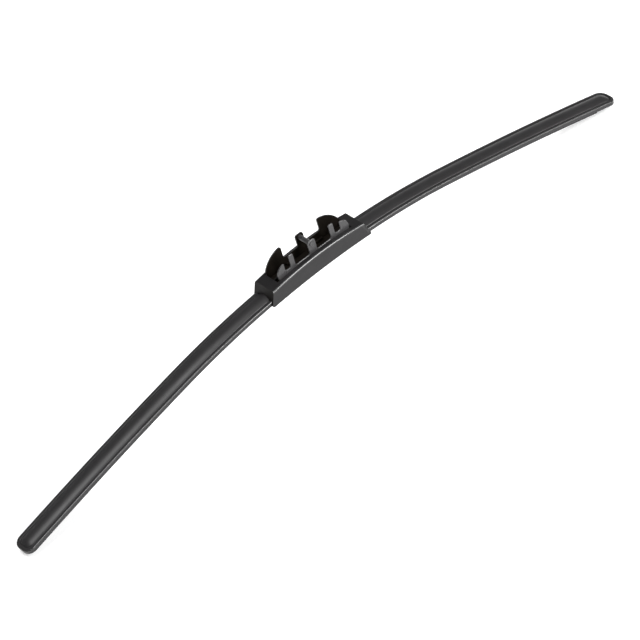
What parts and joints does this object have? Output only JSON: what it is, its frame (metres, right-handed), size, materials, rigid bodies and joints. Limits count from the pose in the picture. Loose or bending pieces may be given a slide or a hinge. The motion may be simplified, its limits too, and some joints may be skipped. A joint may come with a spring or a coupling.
{
  "type": "wiper blade",
  "caption": "Curved beam windscreen wiper blade with a slim full length cover, a rubber wiping element and an open central clip for a hook arm.",
  "frame": {"origin": "on the axis of the cross pin that the wiper arm's hook seats on, midway between the clip's front wall and its catch ledges", "axes": "+X along the blade, +Y across it towards the unslotted side wall, +Z away from the glass"},
  "size_m": [0.5198, 0.0192, 0.0738],
  "materials": {
    "cover": "satin black moulded plastic, slightly glossy",
    "rubber": "matt black rubber with a coated lip",
    "spring_steel": "plain spring steel strip",
    "end_stop": "black moulded plastic",
    "base": "black glass filled plastic",
    "housing": "fine grained matt black plastic",
    "insert": "smooth satin black plastic",
    "pin": "smooth black pin"
  },
  "bodies": {
    "root": {"cover_left": "cover", "cover_right": "cover", "wiping_element": "rubber", "rail_front": "spring_steel", "rail_back": "spring_steel", "end_stop_left": "end_stop", "end_stop_right": "end_stop", "rail_base": "base", "bridge_housing": "housing", "clip_insert": "insert", "pivot_pin": "pin"}
  },
  "joints": []
}
